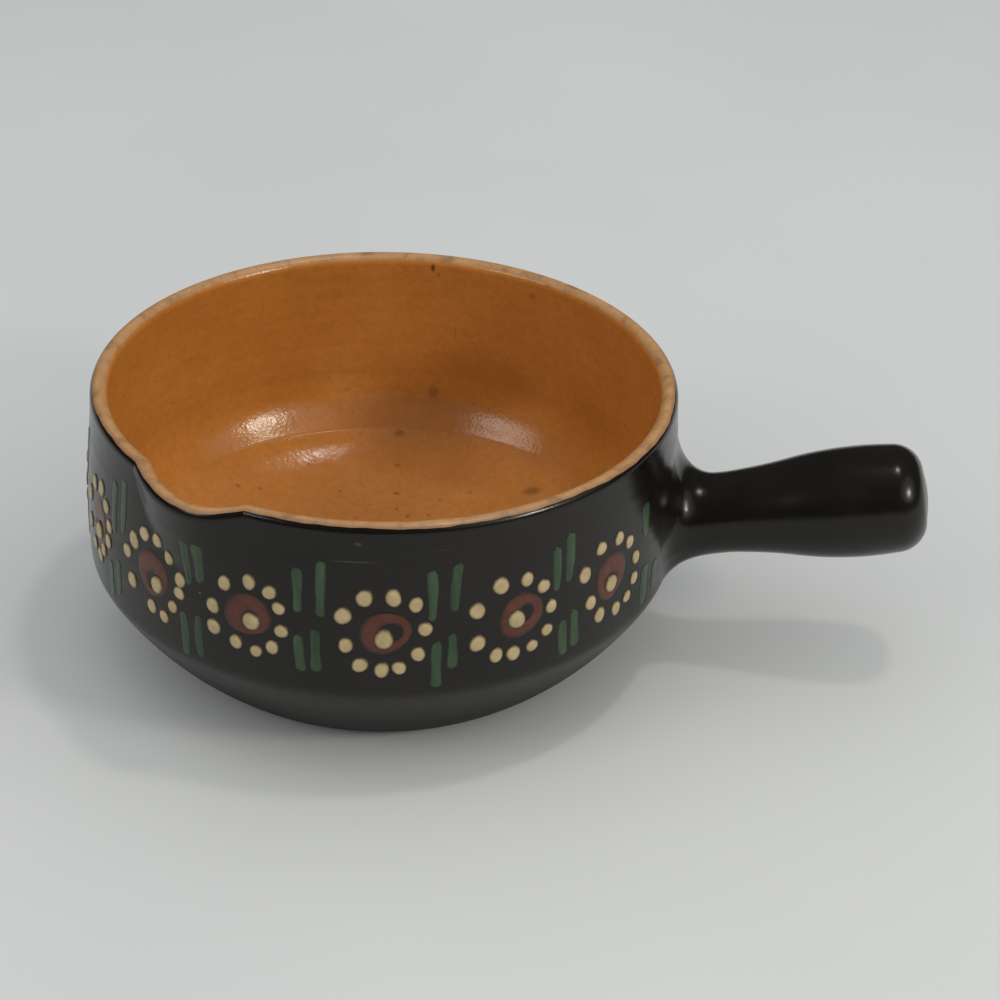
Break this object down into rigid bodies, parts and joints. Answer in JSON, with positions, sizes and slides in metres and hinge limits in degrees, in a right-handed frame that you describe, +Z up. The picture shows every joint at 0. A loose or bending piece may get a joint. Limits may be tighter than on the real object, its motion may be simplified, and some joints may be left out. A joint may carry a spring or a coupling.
{
  "type": "pot_with_handle",
  "caption": "Round earthenware saucepan with a pulled pouring lip, a flat foot and a tapered stick handle, honey glaze inside, dark glaze outside and slip-trailed flowers",
  "frame": {"origin": "the centre of the flat foot, on the plane that the pot stands on", "axes": "+Z up along the axis of the bowl, +X along the handle, away from the bowl; the pouring lip lies 121 degrees clockwise from the handle, seen from above"},
  "size_m": [0.2626, 0.1854, 0.0882],
  "materials": {
    "clay": "bare fired clay, matte",
    "honey_glaze": "clear honey glaze over buff clay, glossy",
    "dark_glaze": "brown-black slip under clear glaze, glossy",
    "handle_glaze": "brown-black slip under clear glaze, glossy",
    "coil_glaze": "brown-black slip under clear glaze, glossy",
    "cream_slip": "cream slip under clear glaze, glossy",
    "rust_slip": "rust-brown slip under clear glaze, glossy",
    "centre_slip": "cream slip under clear glaze, glossy",
    "green_slip": "green slip under clear glaze, glossy"
  },
  "bodies": {
    "root": {"bowl": "clay", "honey_glaze_lining": "honey_glaze", "dark_slip_coat": "dark_glaze", "handle": "handle_glaze", "luting_coil": "coil_glaze", "cream_petal_dots": "cream_slip", "rust_rings": "rust_slip", "cream_centre_dots": "centre_slip", "green_strokes": "green_slip"}
  },
  "joints": []
}
